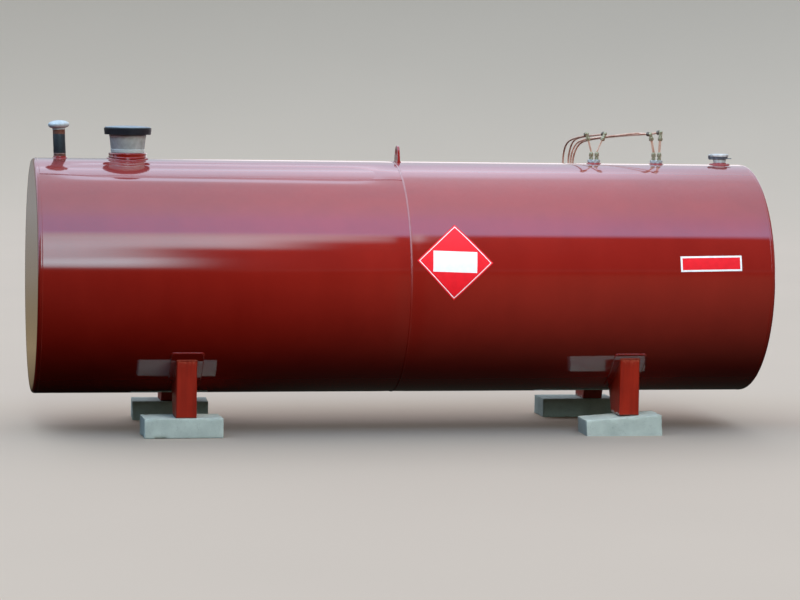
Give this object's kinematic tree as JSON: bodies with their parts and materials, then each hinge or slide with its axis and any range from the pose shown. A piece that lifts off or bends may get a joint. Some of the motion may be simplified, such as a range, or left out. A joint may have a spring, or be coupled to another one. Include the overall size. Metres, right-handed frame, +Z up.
{
  "type": "horizontal storage tank",
  "caption": "Horizontal cylindrical fuel tank with flat flanged ends on short legs and concrete blocks, with vents, a hinged fill lid, a lifting eye and copper fuel lines on top.",
  "frame": {"origin": "on the ground under the middle of the tank", "axes": "+X along the tank towards the fill end, +Y to the rear, away from the side with the plates, +Z up"},
  "size_m": [3.83, 1.2564, 1.6007],
  "materials": {
    "shell_paint": "glossy dark red enamel",
    "leg_paint": "semi-gloss orange-red enamel",
    "concrete": "matt pale cast concrete",
    "plated_steel": "dull zinc plating",
    "cast_aluminium": "as cast, dull",
    "black_paint": "satin black",
    "dark_pipe": "satin black varnish",
    "brass": "dull brass",
    "copper": "weathered copper"
  },
  "bodies": {
    "tank": {"shell_course_left": "shell_paint", "lap_seam_left": "shell_paint", "head_left": "shell_paint", "line_coupling_left": "shell_paint", "line_bushing_left": "plated_steel", "shell_course_right": "shell_paint", "lap_seam_right": "shell_paint", "head_right": "shell_paint", "line_coupling_right": "shell_paint", "line_bushing_right": "plated_steel", "girth_weld": "shell_paint", "wear_plate_front_left": "shell_paint", "leg_front_left": "leg_paint", "pad_front_left": "concrete", "wear_plate_front_right": "shell_paint", "leg_front_right": "leg_paint", "pad_front_right": "concrete", "wear_plate_rear_left": "shell_paint", "leg_rear_left": "leg_paint", "pad_rear_left": "concrete", "wear_plate_rear_right": "shell_paint", "leg_rear_right": "leg_paint", "pad_rear_right": "concrete", "lifting_lug": "shell_paint", "vent_coupling": "shell_paint", "vent_pipe": "dark_pipe", "vent_cap": "plated_steel", "emergency_vent_collar": "shell_paint", "emergency_vent_body": "cast_aluminium", "fill_coupling": "shell_paint", "fill_neck": "plated_steel", "fill_cap_base": "plated_steel", "riser_1": "brass", "elbow_1": "brass", "fuel_line_1": "copper", "riser_2": "brass", "elbow_2": "brass", "fuel_line_2": "copper", "riser_3": "brass", "elbow_3": "brass", "fuel_line_3": "copper", "riser_4": "brass", "elbow_4": "brass", "fuel_line_4": "copper"},
    "vent_cover": {"emergency_vent_skirt": "black_paint", "emergency_vent_lid": "cast_aluminium"},
    "fill_lid": {"fill_cap_lid": "plated_steel"}
  },
  "joints": [
    {"name": "vent_cover_lift", "type": "slide", "parent": "tank", "child": "vent_cover", "axis": [0, 0, 1], "range_m": [0, 0.025]},
    {"name": "fill_lid_hinge", "type": "hinge", "parent": "tank", "child": "fill_lid", "pos_m": [1.725, 0, 1.4549], "axis": [0, -1, 0], "range_deg": [0, 110]}
  ]
}
